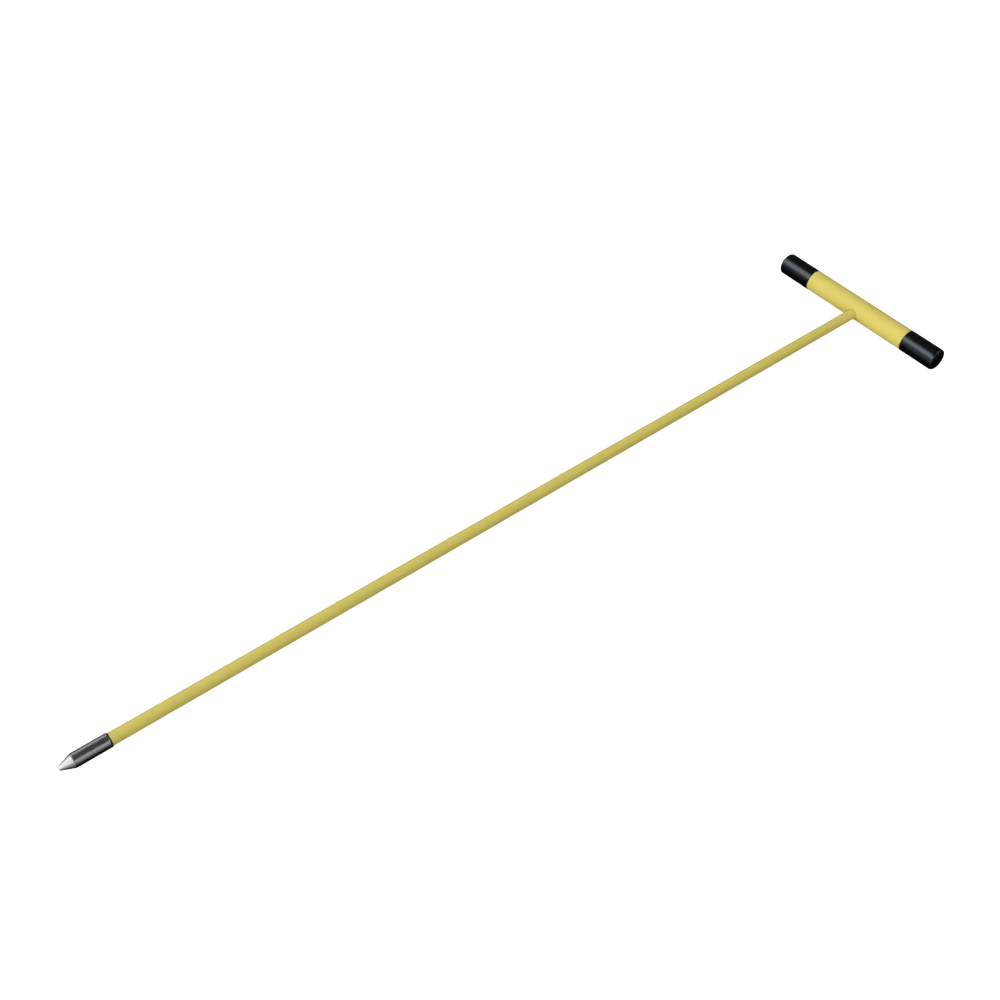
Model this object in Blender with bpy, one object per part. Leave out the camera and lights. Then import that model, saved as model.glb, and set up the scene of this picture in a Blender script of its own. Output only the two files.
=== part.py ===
"""A rigid T-handled ground probe: a jacketed fibreglass shaft, a capped cross handle and a steel point.

The probe lies flat. +X runs from the point to the handle, the handle lies along Y, and +Z is up. The origin
is on the ground, under the middle of the whole tool. Shaft pieces are placed by their reach, which is the
distance from the handle's axis towards the point.
"""

import math

import bmesh
import bpy
from mathutils import Vector

MM = 0.001
GAP = 0.3 * MM  # clearance between fitted pieces, which adhesive fills

# Shaft
POINT_REACH = 1219.2 * MM  # handle axis to the very end, 48 inches
CORE_RADIUS = 6.35 * MM
CORE_BORE = CORE_RADIUS + GAP
JACKET_RADIUS = 7.55 * MM
JACKET_BORE = JACKET_RADIUS + GAP

# Handle
HANDLE_HALF = 140.0 * MM
GRIP_HALF = 85.5 * MM  # half the yellow stretch between the end caps
GRIP_RADIUS = 15.5 * MM
CAP_RADIUS = 15.7 * MM
CAP_CORNER = 3.9 * MM
CAP_END_WALL = 4.0 * MM
TUBE_RADIUS = 13.1 * MM
TUBE_INSIDE = 10.1 * MM
TUBE_BORE = TUBE_RADIUS + GAP
TUBE_HALF = HANDLE_HALF - CAP_END_WALL - GAP

# Hub in the middle of the handle, which holds the shaft's end
HUB_HALF = 22.0 * MM
HUB_RADIUS = TUBE_INSIDE - GAP
HUB_GROOVE_PLACE = 15.0 * MM
HUB_GROOVE_HALF = 1.5 * MM
HUB_GROOVE_DEPTH = 0.6 * MM
HUB_PIN_RADIUS = 2.5 * MM
HUB_PIN_HALF = 20.0 * MM
JACKET_SEAT = 5.0 * MM  # reach of the step that the jacket's end stops at
CORE_SEAT = -6.5 * MM  # reach of the bottom of the bore, past the handle's axis
FOAM_MARGIN = 1.0 * MM  # from the foam's end to the tube's end

# Steel ferrule and point
STEEL_RADIUS = 8.5 * MM
FERRULE_LENGTH = 40.0 * MM
FERRULE_RIM = 0.5 * MM
MOUTH_DEPTH = 8.0 * MM  # of the wide bore for the jacket's end
SOCKET_DEPTH = 26.0 * MM  # of the bore for the core's end
CONE_LENGTH = 15.9 * MM
NOSE_RADIUS = 2.4 * MM
NOSE_CORNER = 0.5 * MM
SHANK_RADIUS = 4.0 * MM
SHANK_LENGTH = 13.6 * MM
FERRULE_REACH = POINT_REACH - CONE_LENGTH - FERRULE_LENGTH
FERRULE_PIN_RADIUS = 1.5 * MM
FERRULE_PIN_HALF = 8.3 * MM
FERRULE_PIN_DEPTH = 17.0 * MM  # from the ferrule's rear face to the pin
FERRULE_PIN_TURN = math.radians(-54)  # about the shaft, from upright
SEAL_LENGTH = 1.0 * MM
SEAL_RADIUS = 8.35 * MM

BROKEN_EDGE = 0.3 * MM
CHAMFER = 0.8 * MM
HANDLE_SEGMENTS = 48
SHAFT_SEGMENTS = 32
PIN_SEGMENTS = 16
FACET = 1.3 * MM  # longest facet of a rounded corner
SMOOTH_ANGLE = math.radians(35)
WELD = 0.001 * MM
OVERRUN = 3.0 * MM  # how far a drill runs out of what it cuts

# Euler rotations that turn a piece's own Z axis
TOWARDS_POINT = (0, -math.pi / 2, 0)
TOWARDS_LEFT = (-math.pi / 2, 0, 0)
TOWARDS_RIGHT = (math.pi / 2, 0, 0)
ACROSS_FERRULE = (FERRULE_PIN_TURN, 0, 0)


def surface(name, colour, roughness, metallic=0.0):
    """A plain material."""
    material = bpy.data.materials.new(name)
    material.use_nodes = True
    shader = material.node_tree.nodes["Principled BSDF"]
    shader.inputs["Base Color"].default_value = (*colour, 1)
    shader.inputs["Roughness"].default_value = roughness
    shader.inputs["Metallic"].default_value = metallic
    material.diffuse_color = (*colour, 1)
    return material


def rounded(outline):
    """The outline's points, with an arc at each corner that has a radius."""
    corners = [Vector((along, out, 0)) for along, out, _ in outline]
    points = []
    for i, (_, _, radius) in enumerate(outline):
        corner = corners[i]
        if not radius:
            points.append(corner)
            continue
        before = (corners[i - 1] - corner).normalized()
        after = (corners[(i + 1) % len(corners)] - corner).normalized()
        half = before.angle(after) / 2
        centre = corner + (before + after).normalized() * radius / math.sin(half)
        first = (corner + before * radius / math.tan(half) - centre).normalized()
        last = (corner + after * radius / math.tan(half) - centre).normalized()
        steps = math.ceil(radius * first.angle(last) / FACET)
        for step in range(steps + 1):
            points.append(centre + first.slerp(last, step / steps) * radius)
    return points


def rod(length, radius, edge):
    """Outline of a solid round bar."""
    return [(0, 0, 0), (0, radius, edge), (length, radius, edge), (length, 0, 0)]


def tube(length, bore, radius, edge):
    """Outline of a plain tube."""
    return [(0, bore, edge), (0, radius, edge), (length, radius, edge), (length, bore, edge)]


def centred(outline):
    """The outline moved so that its middle is at zero."""
    middle = (outline[0][0] + outline[-1][0]) / 2
    return [(along - middle, out, edge) for along, out, edge in outline]


def placed(name, shape, material, place, turn):
    """The shape as a named object, set from the handle's centre."""
    mesh = bpy.data.meshes.new(name)
    shape.to_mesh(mesh)
    shape.free()
    mesh.materials.append(material)
    mesh.shade_smooth()
    mesh.set_sharp_from_angle(angle=SMOOTH_ANGLE)
    piece = bpy.data.objects.new(name, mesh)
    bpy.context.collection.objects.link(piece)
    piece.parent = bpy.data.objects["handle_centre"]
    piece.location = place
    piece.rotation_euler = turn
    return piece


def turned(name, outline, segments, material, turn, reach=0.0, aside=0.0):
    """A solid of revolution about its own Z axis, from (along, out, corner radius) points.

    The outline closes on itself, unless it starts and ends on the axis.
    """
    shape = bmesh.new()
    verts = [shape.verts.new((point.y, 0, point.x)) for point in rounded(outline)]
    pairs = list(zip(verts, verts[1:]))
    if outline[0][1] > 0:
        pairs.append((verts[-1], verts[0]))
    edges = [shape.edges.new(pair) for pair in pairs]
    bmesh.ops.spin(
        shape,
        geom=verts + edges,
        cent=(0, 0, 0),
        axis=(0, 0, 1),
        angle=math.tau,
        steps=segments,
        use_merge=True,
    )
    bmesh.ops.remove_doubles(shape, verts=shape.verts, dist=WELD)
    bmesh.ops.recalc_face_normals(shape, faces=shape.faces)
    return placed(name, shape, material, (-reach, aside, 0), turn)


def drill(name, pieces, radius, length, segments, turn, reach=0.0):
    """Cuts one round hole, centred on its reach, in each of the pieces."""
    shape = bmesh.new()
    bmesh.ops.create_cone(
        shape, cap_ends=True, segments=segments, radius1=radius, radius2=radius, depth=length
    )
    cutter = placed(name, shape, pieces[0].data.materials[0], (-reach, 0, 0), turn)
    cutter.hide_render = True
    cutter.display_type = "WIRE"
    for piece in pieces:
        cut = piece.modifiers.new(name, "BOOLEAN")
        cut.operation = "DIFFERENCE"
        cut.solver = "EXACT"
        cut.object = cutter


def bore(name, pieces, radius, low, high):
    """Drills along the shaft's axis between two reaches."""
    drill(name, pieces, radius, high - low, SHAFT_SEGMENTS, TOWARDS_POINT, (low + high) / 2)


def make_shaft(fibreglass, yellow):
    """The load-bearing core and the jacket over it, from the hub to the ferrule."""
    core_start = CORE_SEAT + GAP
    core_length = FERRULE_REACH + SOCKET_DEPTH - GAP - core_start
    core = turned(
        "shaft_core",
        rod(core_length, CORE_RADIUS, CHAMFER),
        SHAFT_SEGMENTS,
        fibreglass,
        TOWARDS_POINT,
        core_start,
    )
    jacket_start = JACKET_SEAT + GAP
    jacket_length = FERRULE_REACH + MOUTH_DEPTH - GAP - jacket_start
    turned(
        "shaft_jacket",
        tube(jacket_length, CORE_BORE, JACKET_RADIUS, 0),
        SHAFT_SEGMENTS,
        yellow,
        TOWARDS_POINT,
        jacket_start,
    )
    return core


def hub_outline():
    """A solid plug with two glue grooves."""
    outline = [(-HUB_HALF, 0, 0), (-HUB_HALF, HUB_RADIUS, CHAMFER)]
    for middle in (-HUB_GROOVE_PLACE, HUB_GROOVE_PLACE):
        for side, depth in ((-1, 0), (-1, HUB_GROOVE_DEPTH), (1, HUB_GROOVE_DEPTH), (1, 0)):
            outline.append((middle + side * HUB_GROOVE_HALF, HUB_RADIUS - depth, 0))
    outline += [(HUB_HALF, HUB_RADIUS, CHAMFER), (HUB_HALF, 0, 0)]
    return outline


def make_handle(fibreglass, yellow, nylon, core):
    """The handle's tube and its yellow jacket, and inside them the hub that holds the shaft."""
    inner = turned(
        "handle_tube",
        centred(tube(2 * TUBE_HALF, TUBE_INSIDE, TUBE_RADIUS, BROKEN_EDGE)),
        HANDLE_SEGMENTS,
        fibreglass,
        TOWARDS_LEFT,
    )
    outer = turned(
        "handle_jacket",
        centred(tube(2 * GRIP_HALF, TUBE_BORE, GRIP_RADIUS, BROKEN_EDGE)),
        HANDLE_SEGMENTS,
        yellow,
        TOWARDS_LEFT,
    )
    hub = turned("handle_hub", hub_outline(), HANDLE_SEGMENTS, nylon, TOWARDS_LEFT)
    bore("core_bore", [hub], CORE_BORE, CORE_SEAT, GRIP_RADIUS)
    bore("jacket_bore", [hub, inner, outer], JACKET_BORE, JACKET_SEAT, GRIP_RADIUS + OVERRUN)
    turned(
        "hub_pin",
        centred(rod(2 * HUB_PIN_HALF, HUB_PIN_RADIUS, BROKEN_EDGE)),
        PIN_SEGMENTS,
        nylon,
        TOWARDS_LEFT,
    )
    drill(
        "hub_pin_hole",
        [hub, core],
        HUB_PIN_RADIUS + GAP,
        2 * (HUB_HALF + OVERRUN),
        PIN_SEGMENTS,
        TOWARDS_LEFT,
    )


def make_handle_end(side, direction, turn, black, foam):
    """One half's foam filling and its end cap, which pushes over the tube."""
    foam_start = HUB_HALF + GAP
    turned(
        f"foam_plug_{side}",
        rod(TUBE_HALF - FOAM_MARGIN - foam_start, HUB_RADIUS, 0),
        SHAFT_SEGMENTS,
        foam,
        turn,
        aside=direction * foam_start,
    )
    cap_start = GRIP_HALF + GAP
    length = HANDLE_HALF - cap_start
    cap = [
        (length - CAP_END_WALL, 0, 0),
        (length - CAP_END_WALL, TUBE_BORE, 0),
        (0, TUBE_BORE, BROKEN_EDGE),
        (0, CAP_RADIUS, BROKEN_EDGE),
        (length, CAP_RADIUS, CAP_CORNER),
        (length, 0, 0),
    ]
    turned(f"end_cap_{side}", cap, HANDLE_SEGMENTS, black, turn, aside=direction * cap_start)


def make_steel_end(steel, bright, black, core):
    """The ferrule on the shaft's end, its cross pin, the seal behind it and the point in front."""
    outline = [
        (0, JACKET_BORE, 0),
        (0, STEEL_RADIUS, FERRULE_RIM),
        (FERRULE_LENGTH, STEEL_RADIUS, 0),
        (FERRULE_LENGTH, SHANK_RADIUS + GAP, 0),
        (SOCKET_DEPTH, SHANK_RADIUS + GAP, 0),
        (SOCKET_DEPTH, CORE_BORE, 0),
        (MOUTH_DEPTH, CORE_BORE, 0),
        (MOUTH_DEPTH, JACKET_BORE, 0),
    ]
    ferrule = turned(
        "tip_ferrule", outline, SHAFT_SEGMENTS, steel, TOWARDS_POINT, FERRULE_REACH
    )
    drill(
        "ferrule_pin_hole",
        [ferrule, core],
        FERRULE_PIN_RADIUS + GAP,
        2 * (STEEL_RADIUS + OVERRUN),
        PIN_SEGMENTS,
        ACROSS_FERRULE,
        FERRULE_REACH + FERRULE_PIN_DEPTH,
    )
    turned(
        "ferrule_pin",
        centred(rod(2 * FERRULE_PIN_HALF, FERRULE_PIN_RADIUS, BROKEN_EDGE)),
        PIN_SEGMENTS,
        steel,
        ACROSS_FERRULE,
        FERRULE_REACH + FERRULE_PIN_DEPTH,
    )
    turned(
        "ferrule_seal",
        tube(SEAL_LENGTH, JACKET_BORE, SEAL_RADIUS, 0),
        SHAFT_SEGMENTS,
        black,
        TOWARDS_POINT,
        FERRULE_REACH - GAP - SEAL_LENGTH,
    )
    cone_start = SHANK_LENGTH + GAP
    point = [
        (0, 0, 0),
        (0, SHANK_RADIUS, CHAMFER),
        (cone_start, SHANK_RADIUS, 0),
        (cone_start, STEEL_RADIUS, 0),
        (SHANK_LENGTH + CONE_LENGTH, NOSE_RADIUS, NOSE_CORNER),
        (SHANK_LENGTH + CONE_LENGTH, 0, 0),
    ]
    shank_reach = POINT_REACH - CONE_LENGTH - SHANK_LENGTH
    turned("tip_point", point, SHAFT_SEGMENTS, bright, TOWARDS_POINT, shank_reach)


def main():
    for old in list(bpy.data.objects):
        bpy.data.objects.remove(old)

    centre = bpy.data.objects.new("handle_centre", None)
    bpy.context.collection.objects.link(centre)
    centre.location = ((POINT_REACH - CAP_RADIUS) / 2, 0, CAP_RADIUS)

    fibreglass = surface("fibreglass", (0.55, 0.46, 0.24), 0.45)
    yellow = surface("yellow_jacket", (0.72, 0.58, 0.13), 0.42)
    black = surface("black_rubber", (0.012, 0.012, 0.014), 0.38)
    nylon = surface("nylon", (0.62, 0.6, 0.55), 0.5)
    foam = surface("foam", (0.78, 0.72, 0.5), 0.9)
    steel = surface("dark_steel", (0.12, 0.125, 0.135), 0.3, 1.0)
    bright = surface("bright_steel", (0.75, 0.76, 0.78), 0.25, 1.0)

    core = make_shaft(fibreglass, yellow)
    make_handle(fibreglass, yellow, nylon, core)
    make_handle_end("left", 1, TOWARDS_LEFT, black, foam)
    make_handle_end("right", -1, TOWARDS_RIGHT, black, foam)
    make_steel_end(steel, bright, black, core)


main()
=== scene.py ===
"""The looks of a T-handled ground probe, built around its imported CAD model.

Everything is in metres, in the CAD model's frame: +X from the point to the handle, Y along the handle and +Z
up. Turned pieces are made along their own Z axis and then laid in place, so each keeps its own coordinates
for the grain of its material.
"""

import math

import bmesh
import bpy
from mathutils import Euler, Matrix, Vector, noise


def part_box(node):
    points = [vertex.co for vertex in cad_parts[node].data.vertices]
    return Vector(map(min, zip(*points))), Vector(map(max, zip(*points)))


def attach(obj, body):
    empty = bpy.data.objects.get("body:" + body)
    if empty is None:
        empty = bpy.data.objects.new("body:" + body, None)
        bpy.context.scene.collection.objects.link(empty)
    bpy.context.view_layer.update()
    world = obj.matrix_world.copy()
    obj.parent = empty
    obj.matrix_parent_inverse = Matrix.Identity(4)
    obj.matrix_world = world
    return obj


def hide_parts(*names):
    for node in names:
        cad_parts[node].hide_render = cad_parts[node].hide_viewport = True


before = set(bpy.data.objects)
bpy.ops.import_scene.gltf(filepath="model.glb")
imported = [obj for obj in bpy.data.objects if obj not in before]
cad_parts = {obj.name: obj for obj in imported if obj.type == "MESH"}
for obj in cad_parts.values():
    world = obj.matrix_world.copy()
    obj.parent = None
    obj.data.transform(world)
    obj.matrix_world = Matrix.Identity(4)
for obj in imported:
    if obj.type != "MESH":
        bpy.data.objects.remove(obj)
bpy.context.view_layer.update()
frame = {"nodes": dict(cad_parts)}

MM = 0.001
BODY = "root"

# Fineness of the meshes
SEGMENTS = 160
PIN_SEGMENTS = 64
CORNER_STEP = math.radians(9)
WELD = 0.0005 * MM
SMOOTH_ANGLE = math.radians(32)

# Sizes that a node's box doesn't give, as in the CAD model
GAP = 0.3 * MM
CAP_END_WALL = 4.0 * MM
MOUTH_DEPTH = 8.0 * MM  # of the ferrule's wide bore for the jacket's end
SOCKET_DEPTH = 26.0 * MM  # of its bore for the core's end
CONE_LENGTH = 15.9 * MM
NOSE_RADIUS = 2.4 * MM
SHANK_RADIUS = 4.0 * MM
PIN_DEPTH = 17.0 * MM  # from the ferrule's rear face to its pin
PIN_RADIUS = 1.5 * MM

# Fine shapes that the CAD model leaves out
SLEEVE_EDGE = 0.4 * MM
SLEEVE_STRETCH = 0.22 * MM  # how far each end of the sleeve reaches into the gap before the cap
CAP_LIP = 0.45 * MM
CAP_INNER_LIP = 0.25 * MM
CAP_CORNER = 3.9 * MM
GATE_RADIUS = 1.5 * MM
GATE_DEPTH = 0.25 * MM
GATE_EDGE = 0.12 * MM
HOLE_CLEARANCE = 0.06 * MM
FILLET_LEG = 0.75 * MM
FILLET_STEPS = 6
FILLET_SINK = 0.06 * MM
RIM_CHAMFER = 0.75 * MM
RIM_EDGE = 0.25 * MM
FERRULE_FRONT_EDGE = 0.16 * MM
CONE_BASE_EDGE = 0.14 * MM
NOSE_CORNER = 0.9 * MM
SHANK_CHAMFER = 0.8 * MM
SEALANT_LENGTH = 1.25 * MM
SEALANT_CREST = 0.45 * MM
SEALANT_CLEARANCE = 0.02 * MM  # to the jacket and to the ferrule
SEALANT_HEEL = 0.1 * MM
SEALANT_SHOULDER = 0.3 * MM
PIN_SLACK = 0.05 * MM
PIN_DOME = 0.35 * MM
FOAM_SEGMENTS = 72
FOAM_RING = 1.6 * MM
FOAM_CELL = 1.9 * MM
FOAM_PIT = 0.35 * MM

# Turns that lay a piece's own Z axis along the tool, or across it for the ferrule's pin
TOWARDS_POINT = Euler((0, -math.pi / 2, 0))
TOWARDS_HANDLE = Euler((0, math.pi / 2, 0))
TOWARDS_LEFT = Euler((-math.pi / 2, 0, 0))
TOWARDS_RIGHT = Euler((math.pi / 2, 0, 0))
ACROSS_FERRULE = Euler((math.radians(-54), 0, 0))

# Grain directions, as the stretch of a pattern's coordinates
EVEN = (1, 1, 1)
ALONG_X = (0.02, 1, 1)
ALONG_Y = (1, 0.02, 1)
ALONG_Z = (1, 1, 0.02)
RINGS_ALONG_Z = (0.01, 0.01, 1)

# Camera
CAMERA_LENS = 44.377
CAMERA_TURN = Euler([math.radians(angle) for angle in (42.723, -0.327, -37.856)])
CAMERA_AIM = Vector((-33.3, 20.4, 15.7)) * MM
CAMERA_DISTANCE = 1.5087


# ---------------------------------------------------------------- sizes from the frame

def middle(node):
    low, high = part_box(node)
    return (low + high) / 2


def size(node):
    low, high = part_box(node)
    return high - low


handle_centre = middle("handle_jacket")
grip_radius = size("handle_jacket").z / 2
grip_half = size("handle_jacket").y / 2
tube_bore = size("handle_tube").z / 2 + GAP
cap_radius = size("end_cap_left").z / 2
cap_length = size("end_cap_left").y
shaft_radius = size("shaft_jacket").z / 2
core_bore = size("shaft_core").z / 2 + GAP
steel_radius = size("tip_ferrule").z / 2
ferrule_length = size("tip_ferrule").x
ferrule_rear = middle("tip_ferrule") + Vector((ferrule_length / 2, 0, 0))


# ---------------------------------------------------------------- mesh tools

def rounded(outline):
    """The outline's points, with an arc at each corner that has a radius."""
    corners = [Vector((along, out, 0)) for along, out, _ in outline]
    points = []
    for i, (_, _, radius) in enumerate(outline):
        corner = corners[i]
        if not radius:
            points.append(corner)
            continue
        before = (corners[i - 1] - corner).normalized()
        after = (corners[(i + 1) % len(corners)] - corner).normalized()
        half = before.angle(after) / 2
        centre = corner + (before + after).normalized() * radius / math.sin(half)
        first = (corner + before * radius / math.tan(half) - centre).normalized()
        last = (corner + after * radius / math.tan(half) - centre).normalized()
        steps = math.ceil(first.angle(last) / CORNER_STEP)
        for step in range(steps + 1):
            points.append(centre + first.slerp(last, step / steps) * radius)
    return points


def piece_from(name, shape, turn=Euler(), place=Vector()):
    """The shape as a smooth-shaded object whose flat stretches stay flat."""
    mesh = bpy.data.meshes.new(name)
    shape.to_mesh(mesh)
    shape.free()
    mesh.shade_smooth()
    mesh.set_sharp_from_angle(angle=SMOOTH_ANGLE)
    piece = bpy.data.objects.new(name, mesh)
    bpy.context.collection.objects.link(piece)
    piece.location = place
    piece.rotation_euler = turn
    return piece


def keep_flats(piece):
    """Weights the normals by area, so that rounded edges don't shade the faces beside them."""
    weighted = piece.modifiers.new("flats", "WEIGHTED_NORMAL")
    weighted.keep_sharp = True
    return piece


def turned(name, outline, turn, place, segments=SEGMENTS):
    """A solid of revolution about its own Z axis, from (along, out, corner radius) points.

    The outline closes on itself, unless it starts and ends on the axis.
    """
    shape = bmesh.new()
    verts = [shape.verts.new((point.y, 0, point.x)) for point in rounded(outline)]
    pairs = list(zip(verts, verts[1:]))
    if outline[0][1] > 0:
        pairs.append((verts[-1], verts[0]))
    edges = [shape.edges.new(pair) for pair in pairs]
    bmesh.ops.spin(
        shape,
        geom=verts + edges,
        cent=(0, 0, 0),
        axis=(0, 0, 1),
        angle=math.tau,
        steps=segments,
        use_merge=True,
    )
    bmesh.ops.remove_doubles(shape, verts=shape.verts, dist=WELD)
    bmesh.ops.recalc_face_normals(shape, faces=shape.faces)
    return piece_from(name, shape, turn, place)


def drilled(piece, radius, length, turn, place, segments):
    """Cuts one round hole through the piece, centred on a place."""
    shape = bmesh.new()
    bmesh.ops.create_cone(
        shape, cap_ends=True, segments=segments, radius1=radius, radius2=radius, depth=length
    )
    cutter = piece_from("cutter", shape, turn, place)
    cut = piece.modifiers.new("hole", "BOOLEAN")
    cut.operation = "DIFFERENCE"
    cut.solver = "EXACT"
    cut.object = cutter
    graph = bpy.context.evaluated_depsgraph_get()
    mesh = bpy.data.meshes.new_from_object(piece.evaluated_get(graph))
    piece.modifiers.clear()
    piece.data = mesh
    mesh.set_sharp_from_angle(angle=SMOOTH_ANGLE)
    bpy.data.objects.remove(cutter)
    return piece


def grid_faces(shape, rings):
    """Joins closed rings of vertices, one after the other, with quads."""
    for ring, following in zip(rings, rings[1:]):
        for i in range(len(ring)):
            shape.faces.new((ring[i - 1], ring[i], following[i], following[i - 1]))


def dressed(piece, material, slot, *nodes):
    """Gives a finished piece its material and its body, and hides the CAD nodes it stands for. The slot
    argument is not used.
    """
    piece.data.materials.clear()
    piece.data.materials.append(material)
    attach(piece, BODY)
    if nodes:
        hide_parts(*nodes)


# ---------------------------------------------------------------- materials

YELLOW = (0.755, 0.648, 0.157)
YELLOW_RUBBED = (0.88, 0.81, 0.48)
YELLOW_SPECK = (0.20, 0.16, 0.07)
BLACK = (0.0032, 0.0033, 0.0036)
BLACK_WORN = (0.012, 0.012, 0.013)
BLACK_SHEEN = (0.72, 0.86, 1, 1)  # the bluish cast of its highlights
FERRULE_STEEL = (0.58, 0.58, 0.60)
# painted highlight on the ferrule's rear rim, together with wear
FERRULE_WEAR_AND_GLINT = (0.75, 0.75, 0.74)
PIN_STEEL = (0.3, 0.3, 0.3)
PIN_RUBBED = (0.4, 0.4, 0.4)
POINT_STEEL = (0.365, 0.368, 0.374)
POINT_RUBBED = (0.52, 0.515, 0.51)
# near black: sealant, and painted shade behind the ferrule's rim
SEALANT_AND_SHADE_DARK = (0.006, 0.006, 0.006)
SEALANT_AND_SHADE_PALE = (0.02, 0.018, 0.016)
RESIN = (0.36, 0.27, 0.11)
GLASS_STRAND = (0.72, 0.64, 0.40)
NYLON_DARK = (0.56, 0.54, 0.48)
NYLON_PALE = (0.68, 0.66, 0.61)
FOAM_WALL = (0.84, 0.79, 0.60)
FOAM_HOLLOW = (0.62, 0.55, 0.34)
STAGE_DARK = (0.90, 0.90, 0.90)
STAGE_PALE = (0.92, 0.92, 0.92)
WHITE = (1, 1, 1, 1)

# Where steel is drawn brighter, as the heights of full and no brightening: wear at the cone's nose, and at
# the ferrule's rear rim wear together with a painted highlight
FERRULE_RIM_WEAR_AND_GLINT = (0.6 * MM, 1.6 * MM)
NOWHERE = (-1, 0)
NOSE_REACH = 5 * MM


class Surface:
    """A material's Principled shader and the nodes that pattern it, on the piece's own coordinates."""

    def __init__(self, name, **values):
        self.material = bpy.data.materials.new(name)
        self.material.use_nodes = True
        self.tree = self.material.node_tree
        self.shader = self.tree.nodes["Principled BSDF"]
        self.coordinates = self.tree.nodes.new("ShaderNodeTexCoord").outputs["Object"]
        for socket, value in values.items():
            self.shader.inputs[socket.replace("_", " ")].default_value = value

    def add(self, kind, inputs, output, **settings):
        """A new node's output. Its inputs are values, or outputs of other nodes."""
        node = self.tree.nodes.new(kind)
        for key, value in settings.items():
            setattr(node, key, value)
        for key, value in inputs.items():
            if isinstance(value, bpy.types.NodeSocket):
                self.tree.links.new(value, node.inputs[key])
            else:
                node.inputs[key].default_value = value
        return node.outputs[output]

    def place(self, grain=EVEN):
        return self.add("ShaderNodeMapping", {"Vector": self.coordinates, "Scale": grain}, "Vector")

    def cloud(self, feature, grain=EVEN, detail=2.0, seed=0.0):
        """Noise from 0 to 1 with features of about that size, in metres."""
        return self.add(
            "ShaderNodeTexNoise",
            {"Vector": self.place(grain), "Scale": 1 / feature, "Detail": detail, "W": seed},
            "Fac",
            noise_dimensions="4D",
        )

    def cells(self, feature, feature_kind="F1", grain=EVEN):
        """Distance to the nearest cell's centre, or to its wall."""
        return self.add(
            "ShaderNodeTexVoronoi",
            {"Vector": self.place(grain), "Scale": 1 / feature},
            "Distance",
            feature=feature_kind,
        )

    def height(self):
        """The piece's own Z coordinate."""
        return self.add("ShaderNodeSeparateXYZ", {"Vector": self.coordinates}, "Z")

    def ranged(self, value, low, high, first=0.0, last=1.0):
        """The value's stretch from low to high, clamped, mapped to first and last."""
        inputs = {"Value": value, "From Min": low, "From Max": high, "To Min": first, "To Max": last}
        return self.add("ShaderNodeMapRange", inputs, "Result")

    def plus(self, first, second):
        return self.add("ShaderNodeMath", {0: first, 1: second}, 0, operation="ADD")

    def times(self, first, second):
        return self.add("ShaderNodeMath", {0: first, 1: second}, 0, operation="MULTIPLY")

    def blended(self, factor, first, second):
        """One colour turning into another. Each is a colour or an output."""
        colours = [
            (*colour, 1) if isinstance(colour, tuple) else colour for colour in (first, second)
        ]
        inputs = {"Fac": factor, "Color1": colours[0], "Color2": colours[1]}
        return self.add("ShaderNodeMixRGB", inputs, "Color")

    def drive(self, socket, value):
        self.tree.links.new(value, self.shader.inputs[socket])

    def bump(self, height, depth):
        """Adds relief on top of what there is. The depth is in metres."""
        inputs = {"Height": height, "Distance": depth}
        if self.shader.inputs["Normal"].links:
            inputs["Normal"] = self.shader.inputs["Normal"].links[0].from_socket
        self.drive("Normal", self.add("ShaderNodeBump", inputs, "Normal"))


def tone(colour, factor):
    """The colour made lighter or darker."""
    return tuple(channel * factor for channel in colour)


def yellow_plastic(name, grain):
    """Satin extruded plastic, with faint draw lines, an eggshell skin, light scuffs and uneven gloss."""
    skin = Surface(name, IOR=1.46, Specular_IOR_Level=0.2, Diffuse_Roughness=0.35)
    batch = skin.blended(skin.cloud(60 * MM, detail=3), tone(YELLOW, 0.965), tone(YELLOW, 1.03))
    lines = skin.cloud(0.55 * MM, grain, detail=3, seed=1)
    streaked = skin.blended(skin.ranged(lines, 0.35, 0.75, 0, 0.3), batch, tone(YELLOW, 0.84))
    scuffs = skin.times(
        skin.ranged(skin.cloud(1.3 * MM, grain, detail=5, seed=2), 0.62, 0.74),
        skin.ranged(skin.cloud(26 * MM, seed=3), 0.5, 0.66),
    )
    brightened = skin.blended(skin.ranged(scuffs, 0, 1, 0, 0.4), streaked, YELLOW_RUBBED)
    specks = skin.ranged(skin.cells(3.2 * MM), 0.045, 0.08, 0.5, 0)
    skin.drive("Base Color", skin.blended(specks, brightened, YELLOW_SPECK))
    gloss = skin.ranged(skin.cloud(17 * MM, detail=4, seed=4), 0.3, 0.7, 0.40, 0.50)
    skin.drive("Roughness", skin.plus(gloss, skin.ranged(scuffs, 0, 1, 0, 0.14)))
    skin.bump(skin.cloud(1.1 * MM, detail=2, seed=5), 0.045 * MM)
    skin.bump(lines, 0.03 * MM)
    skin.bump(skin.cloud(0.16 * MM, detail=3, seed=6), 0.014 * MM)
    return skin.material


def black_rubber(name, rim):
    """Dipped vinyl: fine matt grain, cloudy gloss, and a polished, greyer outer rim."""
    skin = Surface(name, IOR=1.5, Specular_IOR_Level=0.62, Specular_Tint=BLACK_SHEEN)
    bloom = skin.blended(skin.cloud(7 * MM, detail=4), tone(BLACK, 0.8), tone(BLACK, 1.35))
    rim_zone = skin.ranged(skin.height(), rim - 5 * MM, rim - 1 * MM)
    wear = skin.times(rim_zone, skin.ranged(skin.cloud(1.6 * MM, detail=5, seed=1), 0.48, 0.68))
    skin.drive("Base Color", skin.blended(skin.ranged(wear, 0, 1, 0, 0.5), bloom, BLACK_WORN))
    gloss = skin.ranged(skin.cloud(9 * MM, detail=5, seed=2), 0.3, 0.7, 0.22, 0.27)
    skin.drive("Roughness", skin.plus(gloss, skin.ranged(wear, 0, 1, 0, 0.05)))
    skin.bump(skin.cells(0.45 * MM), 0.014 * MM)
    skin.bump(skin.cloud(2.4 * MM, detail=2, seed=3), 0.05 * MM)
    return skin.material


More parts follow.
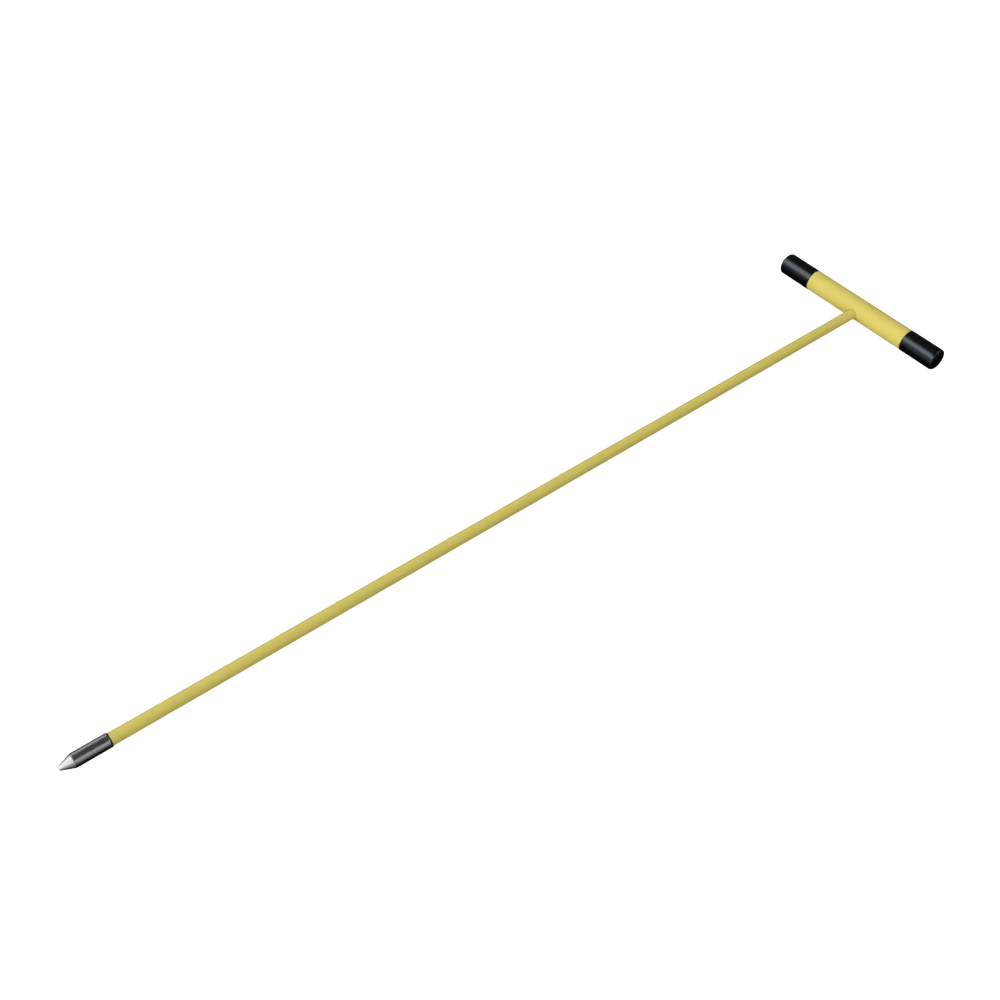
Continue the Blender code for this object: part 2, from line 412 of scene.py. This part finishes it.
def sealant_and_painted_shade():
    """A black rubbery bead with a tooled, slightly lumpy skin. Its near-black colour is the sealant's own
    and also paints the shade line behind the ferrule's rim.
    """
    skin = Surface("sealant_and_painted_shade", IOR=1.45)
    skin.drive("Base Color", skin.blended(skin.cloud(1.5 * MM), SEALANT_AND_SHADE_DARK, SEALANT_AND_SHADE_PALE))
    skin.drive("Roughness", skin.ranged(skin.cloud(0.8 * MM, seed=1), 0.3, 0.7, 0.42, 0.6))
    skin.bump(skin.cloud(1.1 * MM, detail=3, seed=2), 0.08 * MM)
    return skin.material


def turned_steel(name, colour, dull, rough, wear_and_glint_colour, wear_and_glint_zone):
    """Lathe-turned steel: fine rings, cloudy finish, and a zone painted brighter, given as (full, none)
    heights: wear on the cone's nose, wear with a painted highlight on the ferrule's rim.
    """
    steel = Surface(name, Metallic=1.0, Anisotropic=0.35)
    stain = steel.blended(steel.cloud(5 * MM, detail=5), tone(colour, 1 - dull), tone(colour, 1 + dull))
    rings = steel.cloud(0.16 * MM, RINGS_ALONG_Z, detail=2, seed=1)
    ringed = steel.blended(steel.ranged(rings, 0.3, 0.7, 0, 0.25), stain, tone(colour, 0.6))
    full, none = wear_and_glint_zone
    patches = steel.ranged(steel.cloud(1.1 * MM, detail=5, seed=2), 0.35, 0.6)
    # the brighter zone; on the ferrule's rim it is a painted highlight as well as wear
    brightened = steel.times(steel.ranged(steel.height(), full, none, 1, 0), patches)
    steel.drive("Base Color", steel.blended(brightened, ringed, wear_and_glint_colour))
    smudge = steel.ranged(steel.cloud(8 * MM, detail=4, seed=3), 0.3, 0.7, rough - 0.03, rough + 0.04)
    steel.drive("Roughness", smudge)
    steel.bump(rings, 0.006 * MM)
    steel.bump(steel.cloud(0.9 * MM, detail=4, seed=4), 0.004 * MM)
    return steel.material


def fibreglass(name, grain):
    """Amber resin over glass strands."""
    glass = Surface(name, IOR=1.55)
    strands = glass.cloud(0.5 * MM, grain, detail=4)
    glass.drive("Base Color", glass.blended(strands, RESIN, GLASS_STRAND))
    glass.drive("Roughness", glass.ranged(strands, 0.3, 0.7, 0.32, 0.5))
    glass.bump(strands, 0.04 * MM)
    return glass.material


def nylon():
    """Moulded natural nylon: cloudy ivory with a fine spark-eroded skin."""
    skin = Surface("nylon", IOR=1.53)
    skin.drive("Base Color", skin.blended(skin.cloud(6 * MM), NYLON_DARK, NYLON_PALE))
    skin.drive("Roughness", skin.ranged(skin.cloud(3 * MM, seed=1), 0.3, 0.7, 0.42, 0.58))
    skin.bump(skin.cloud(0.3 * MM, detail=3, seed=2), 0.02 * MM)
    return skin.material


def foam():
    """Closed-cell foam: darker cells with thin pale walls."""
    skin = Surface("foam", IOR=1.4)
    walls = skin.cells(0.9 * MM, "DISTANCE_TO_EDGE")
    skin.drive("Base Color", skin.blended(skin.ranged(walls, 0, 0.25), FOAM_WALL, FOAM_HOLLOW))
    skin.drive("Roughness", skin.ranged(skin.cloud(2 * MM), 0.3, 0.7, 0.82, 0.98))
    skin.bump(walls, 0.12 * MM)
    return skin.material


# ---------------------------------------------------------------- pieces

def make_shaft(yellow):
    """The shaft's sleeve, from inside the handle to inside the ferrule's mouth."""
    low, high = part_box("shaft_jacket")
    outline = [
        (0, core_bore, 0),
        (0, shaft_radius, SLEEVE_EDGE),
        (high.x - low.x, shaft_radius, SLEEVE_EDGE),
        (high.x - low.x, core_bore, 0),
    ]
    place = Vector((low.x, handle_centre.y, handle_centre.z))
    shaft = turned("shaft_skin", outline, TOWARDS_HANDLE, place)
    dressed(keep_flats(shaft), yellow, "yellow_jacket", "shaft_jacket")


def make_handle(yellow):
    """The grip's sleeve, with the hole that the shaft goes in at."""
    half = grip_half + SLEEVE_STRETCH
    outline = [
        (-half, tube_bore, 0),
        (-half, grip_radius, SLEEVE_EDGE),
        (half, grip_radius, SLEEVE_EDGE),
        (half, tube_bore, 0),
    ]
    sleeve = turned("handle_skin", outline, TOWARDS_LEFT, handle_centre)
    hole_place = handle_centre - Vector((grip_radius, 0, 0))
    drilled(
        sleeve, shaft_radius + HOLE_CLEARANCE, grip_radius, TOWARDS_HANDLE, hole_place, SEGMENTS
    )
    dressed(keep_flats(sleeve), yellow, "yellow_jacket", "handle_jacket")


def make_saddle_fillet(yellow):
    """The thin adhesive fillet where the round shaft meets the round handle."""
    shape = bmesh.new()
    sections = []
    for i in range(SEGMENTS):
        angle = math.tau * i / SEGMENTS
        shaft_out = Vector((0, math.cos(angle), math.sin(angle)))
        corner = shaft_out * shaft_radius
        corner.x = -math.sqrt(grip_radius ** 2 - corner.z ** 2)
        handle_out = Vector((corner.x, 0, corner.z)).normalized()
        along_seam = shaft_out.cross(handle_out).normalized()
        up_shaft = shaft_out.cross(along_seam)
        if up_shaft.x > 0:
            up_shaft.negate()
        over_handle = handle_out.cross(along_seam)
        if over_handle.dot(shaft_out) < 0:
            over_handle.negate()
        on_shaft = corner + up_shaft * FILLET_LEG - shaft_out * FILLET_SINK
        on_handle = corner + over_handle * FILLET_LEG - handle_out * FILLET_SINK
        centre = on_shaft + on_handle - corner
        points = [corner - (shaft_out + handle_out) * FILLET_SINK]
        for step in range(FILLET_STEPS + 1):
            turn = math.pi / 2 * step / FILLET_STEPS
            points.append(
                centre + (on_shaft - centre) * math.cos(turn) + (on_handle - centre) * math.sin(turn)
            )
        sections.append([shape.verts.new(handle_centre + point) for point in points])
    grid_faces(shape, sections + sections[:1])
    bmesh.ops.recalc_face_normals(shape, faces=shape.faces)
    dressed(piece_from("saddle_fillet", shape), yellow, "yellow_jacket")


def make_cap(side, direction, turn, rubber):
    """A pushed-on cap with a rolled mouth, a full outer corner and a small moulding gate."""
    outline = [
        (cap_length - CAP_END_WALL, 0, 0),
        (cap_length - CAP_END_WALL, tube_bore, 0),
        (0, tube_bore, CAP_INNER_LIP),
        (0, cap_radius, CAP_LIP),
        (cap_length, cap_radius, CAP_CORNER),
        (cap_length, GATE_RADIUS, GATE_EDGE),
        (cap_length - GATE_DEPTH, GATE_RADIUS - GATE_DEPTH, GATE_EDGE),
        (cap_length - GATE_DEPTH, 0, 0),
    ]
    low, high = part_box(f"end_cap_{side}")
    place = handle_centre.copy()
    place.y = low.y if direction > 0 else high.y
    cap = turned(f"cap_skin_{side}", outline, turn, place)
    dressed(keep_flats(cap), rubber, "black_rubber", f"end_cap_{side}")


def make_foam(side, turn, material):
    """The foam that fills one half of the handle's tube, cut from a block and squeezed in."""
    node = f"foam_plug_{side}"
    length = size(node).y
    radius = size(node).z / 2
    shape = bmesh.new()
    count = round(length / FOAM_RING)
    rings = []
    for i in range(count + 1):
        along = length * (i / count - 0.5)
        ring = []
        for j in range(FOAM_SEGMENTS):
            angle = math.tau * j / FOAM_SEGMENTS
            out = Vector((math.cos(angle), math.sin(angle), 0))
            spot = (out * radius + Vector((0, 0, along))) / FOAM_CELL
            depth = FOAM_PIT * (0.5 + 0.5 * noise.noise(spot))
            ring.append(shape.verts.new(out * (radius - depth) + Vector((0, 0, along))))
        rings.append(ring)
    grid_faces(shape, rings)
    shape.faces.new(rings[0])
    shape.faces.new(rings[-1])
    bmesh.ops.recalc_face_normals(shape, faces=shape.faces)
    plug = piece_from(f"foam_fill_{side}", shape, turn, middle(node))
    dressed(plug, material, "foam", node)


def make_ferrule(steel):
    """The steel sleeve, bored from both ends and drilled across for its pin."""
    outline = [
        (0, shaft_radius + GAP, 0),
        (0, steel_radius - RIM_CHAMFER / 2, RIM_EDGE),
        (RIM_CHAMFER, steel_radius, RIM_EDGE),
        (ferrule_length, steel_radius, FERRULE_FRONT_EDGE),
        (ferrule_length, SHANK_RADIUS + GAP, 0),
        (SOCKET_DEPTH, SHANK_RADIUS + GAP, 0),
        (SOCKET_DEPTH, core_bore, 0),
        (MOUTH_DEPTH, core_bore, 0),
        (MOUTH_DEPTH, shaft_radius + GAP, 0),
    ]
    ferrule = turned("ferrule_skin", outline, TOWARDS_POINT, ferrule_rear)
    pin_place = ferrule_rear - Vector((PIN_DEPTH, 0, 0))
    hole = PIN_RADIUS + PIN_SLACK
    drilled(ferrule, hole, 3 * steel_radius, ACROSS_FERRULE, pin_place, PIN_SEGMENTS)
    dressed(keep_flats(ferrule), steel, "dark_steel", "tip_ferrule")


def make_ferrule_pin(steel):
    """The cross pin, with slightly domed ends."""
    tilt = abs(ACROSS_FERRULE.x)
    half = (size("ferrule_pin").y / 2 - PIN_RADIUS * math.cos(tilt)) / math.sin(tilt)
    outline = [
        (-half - PIN_DOME / 3, 0, 0),
        (-half, PIN_RADIUS, PIN_DOME),
        (half, PIN_RADIUS, PIN_DOME),
        (half + PIN_DOME / 3, 0, 0),
    ]
    pin = turned("cross_pin", outline, ACROSS_FERRULE, middle("ferrule_pin"), PIN_SEGMENTS)
    dressed(keep_flats(pin), steel, "dark_steel", "ferrule_pin")


def make_sealant_and_painted_shade(material):
    """The bead that closes the gap between the ferrule and the jacket, dark enough to paint the shade line
    behind the ferrule's rim.
    """
    inside = shaft_radius + SEALANT_CLEARANCE
    outside = size("ferrule_seal").z / 2
    outline = [
        (SEALANT_CLEARANCE, inside, 0),
        (SEALANT_CLEARANCE, outside, SEALANT_HEEL),
        (SEALANT_CREST, outside, SEALANT_SHOULDER),
        (SEALANT_LENGTH, inside, 0),
    ]
    bead = turned("sealant_bead_and_painted_shade", outline, TOWARDS_HANDLE, ferrule_rear)
    dressed(keep_flats(bead), material, "black_rubber", "ferrule_seal")


def make_point(steel):
    """The cone with its rounded nose, and the shank that holds it in the ferrule."""
    low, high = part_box("tip_point")
    length = high.x - low.x
    cone_start = length - CONE_LENGTH + GAP
    outline = [
        (0, 0, 0),
        (0, SHANK_RADIUS, SHANK_CHAMFER),
        (cone_start, SHANK_RADIUS, 0),
        (cone_start, steel_radius, CONE_BASE_EDGE),
        (length, NOSE_RADIUS, NOSE_CORNER),
        (length, 0, 0),
    ]
    place = Vector((high.x, handle_centre.y, handle_centre.z))
    point = turned("point_skin", outline, TOWARDS_POINT, place)
    dressed(keep_flats(point), steel, "bright_steel", "tip_point")


def make_probe():
    make_shaft(yellow_plastic("yellow_shaft", ALONG_Z))
    grip_yellow = yellow_plastic("yellow_grip", ALONG_Z)
    make_handle(grip_yellow)
    make_saddle_fillet(grip_yellow)
    rubber = black_rubber("black_cap", cap_length)
    make_cap("left", 1, TOWARDS_LEFT, rubber)
    make_cap("right", -1, TOWARDS_RIGHT, rubber)
    foam_material = foam()
    make_foam("left", TOWARDS_LEFT, foam_material)
    make_foam("right", TOWARDS_RIGHT, foam_material)
    # The ferrule's rear rim is painted brighter: wear together with a painted highlight
    make_ferrule(
        turned_steel("dark_ferrule", FERRULE_STEEL, 0.12, 0.22, FERRULE_WEAR_AND_GLINT, FERRULE_RIM_WEAR_AND_GLINT)
    )
    make_ferrule_pin(turned_steel("pin_steel", PIN_STEEL, 0.1, 0.3, PIN_RUBBED, NOWHERE))
    # The sealant bead is real, and its dark ring also paints the shade behind the ferrule's rim
    make_sealant_and_painted_shade(sealant_and_painted_shade())
    nose = size("tip_point").x
    make_point(
        turned_steel(
            "bright_cone", POINT_STEEL, 0.05, 0.38, POINT_RUBBED, (nose, nose - NOSE_REACH)
        )
    )

    nodes = frame["nodes"]
    moulded = nylon()
    kept = {
        "shaft_core": fibreglass("fibreglass_rod", ALONG_X),
        "handle_tube": fibreglass("fibreglass_tube", ALONG_Y),
        "handle_hub": moulded,
        "hub_pin": moulded,
    }
    for name, material in kept.items():
        nodes[name].material_slots[0].material = material


# ---------------------------------------------------------------- studio

SOFTBOX_DISTANCE = 6.0

# Softboxes: (name, azimuth, elevation, how far each spreads both ways, radiance), with the angles in degrees
SOFTBOXES = (
    ("key", 134.5, 41, 45, 38, 3.2),
    ("front", 179.5, 35, 45, 30, 3.4),
    ("left", 225, 31, 46, 22, 3.25),
    ("right", 270, 29, 44, 34, 0.48),
    ("rim", 315, 41, 46, 38, 1.25),
    ("side", 89.5, 31, 45, 38, 0.48),
    ("fill", 180, 11, 136, 18, 0.57),
    ("low_front", 202.5, -9, 91, 22, 1.05),
    ("low_right", 270, -5, 44, 30, 0.2),
)
SKY = 0.05
GROUND = 0.002
FLOOR_HALF = 30.0
BACKDROP_RADIUS = 28.0
BACKDROP_SEGMENTS = 96
STAGE_GLOW = 0.9
STAGE_PATCH = 0.8  # size of the faint patches in the stage's colour
HORIZON_BLUR = 0.04


def make_softboxes():
    """Flat softboxes all round, each facing the tool. Those set low stand in for light off the floor."""
    for name, azimuth, elevation, turn_spread, lift_spread, radiance in SOFTBOXES:
        turn = math.radians(azimuth)
        lift = math.radians(elevation)
        lamp = bpy.data.lights.new(name, "AREA")
        lamp.shape = "RECTANGLE"
        lamp.size = 2 * SOFTBOX_DISTANCE * math.tan(math.radians(turn_spread / 2)) * math.cos(lift)
        lamp.size_y = 2 * SOFTBOX_DISTANCE * math.tan(math.radians(lift_spread / 2))
        lamp.energy = radiance * math.pi * lamp.size * lamp.size_y
        box = bpy.data.objects.new(name, lamp)
        bpy.context.collection.objects.link(box)
        direction = Vector(
            (math.cos(turn) * math.cos(lift), math.sin(turn) * math.cos(lift), math.sin(lift))
        )
        box.location = direction * SOFTBOX_DISTANCE
        box.rotation_euler = (-direction).to_track_quat("-Z", "Y").to_euler()
        box.visible_camera = False


def make_world():
    """A dim, even room above the floor, and next to nothing below."""
    world = bpy.data.worlds.new("studio")
    bpy.context.scene.world = world
    world.use_nodes = True
    nodes = world.node_tree.nodes
    links = world.node_tree.links
    coordinates = nodes.new("ShaderNodeTexCoord")
    split = nodes.new("ShaderNodeSeparateXYZ")
    ramp = nodes.new("ShaderNodeValToRGB")
    rise = nodes.new("ShaderNodeMapRange")
    rise.inputs["From Min"].default_value = -1
    links.new(coordinates.outputs["Generated"], split.inputs["Vector"])
    links.new(split.outputs["Z"], rise.inputs["Value"])
    links.new(rise.outputs["Result"], ramp.inputs["Fac"])
    stops = ramp.color_ramp.elements
    stops[0].position = 0.5 - HORIZON_BLUR
    stops[0].color = (GROUND, GROUND, GROUND, 1)
    stops[1].position = 0.5 + HORIZON_BLUR
    stops[1].color = (SKY, SKY, SKY, 1)
    links.new(ramp.outputs["Color"], nodes["Background"].inputs["Color"])


def staged(piece, pale):
    """Makes the piece part of the stage: seen by the camera, with no effect on how the tool is lit."""
    piece.data.materials.append(pale)
    piece.visible_glossy = False
    piece.visible_diffuse = False
    piece.visible_shadow = False


def make_stage():
    """A pale backdrop, and a pale floor tipped a little so that it meets both the caps and the ferrule."""
    pale = Surface(
        "pale_stage", Roughness=0.9, Emission_Color=WHITE, Emission_Strength=STAGE_GLOW
    )
    pale.drive("Base Color", pale.blended(pale.cloud(STAGE_PATCH), STAGE_DARK, STAGE_PALE))
    caps_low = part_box("end_cap_left")[0].z
    ferrule_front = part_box("tip_ferrule")[0]
    slope = math.atan2(ferrule_front.z - caps_low, handle_centre.x - ferrule_front.x)
    floor_shape = bmesh.new()
    bmesh.ops.create_grid(floor_shape, x_segments=1, y_segments=1, size=FLOOR_HALF)
    floor_place = Vector((handle_centre.x, 0, caps_low))
    staged(piece_from("floor", floor_shape, Euler((0, slope, 0)), floor_place), pale.material)
    dome = bmesh.new()
    bmesh.ops.create_uvsphere(
        dome, u_segments=BACKDROP_SEGMENTS, v_segments=BACKDROP_SEGMENTS // 2, radius=BACKDROP_RADIUS
    )
    bmesh.ops.reverse_faces(dome, faces=dome.faces)
    staged(piece_from("backdrop", dome), pale.material)


def make_camera():
    lens = bpy.data.cameras.new("camera")
    lens.lens = CAMERA_LENS
    camera = bpy.data.objects.new("camera", lens)
    bpy.context.collection.objects.link(camera)
    camera.rotation_euler = CAMERA_TURN
    camera.location = CAMERA_AIM + CAMERA_TURN.to_matrix().col[2] * CAMERA_DISTANCE
    bpy.context.scene.camera = camera


def make_studio():
    make_softboxes()
    make_world()
    make_stage()
    make_camera()
    bpy.context.scene.view_settings.view_transform = "Standard"


make_probe()
make_studio()
